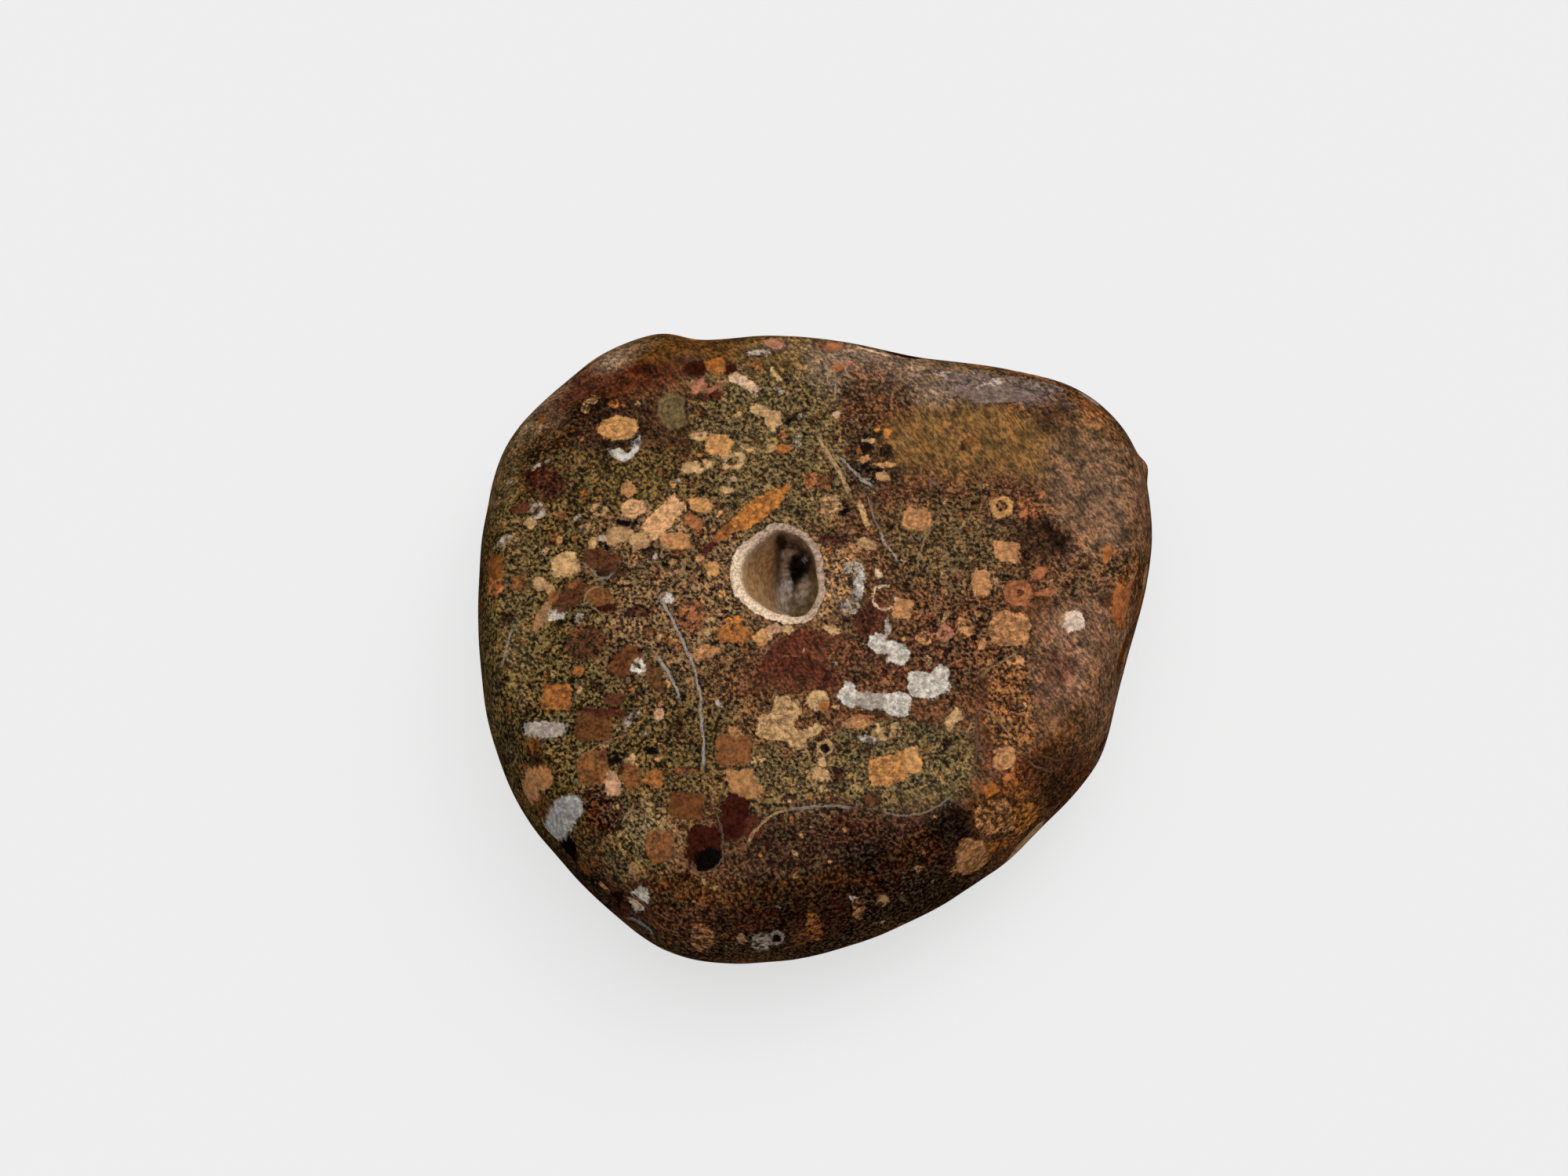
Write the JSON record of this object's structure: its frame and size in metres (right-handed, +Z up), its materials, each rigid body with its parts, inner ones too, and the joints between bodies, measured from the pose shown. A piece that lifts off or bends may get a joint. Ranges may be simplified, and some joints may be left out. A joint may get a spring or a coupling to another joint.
{
  "type": "fossil-bearing limestone pebble",
  "caption": "Flat water-worn limestone pebble full of small fossil sections, with a shell-lined hollow in its top.",
  "frame": {"origin": "under the middle of the stone's bounding box, on the surface it lies on", "axes": "+Z up through the flat top with the hollow, +X to the picture's right, +Y to the picture's top, away from the viewer"},
  "size_m": [0.07, 0.0672, 0.0228],
  "materials": {
    "limestone": "water-worn, semi-gloss"
  },
  "bodies": {
    "root": {"fossil_pebble": "limestone"}
  },
  "joints": []
}
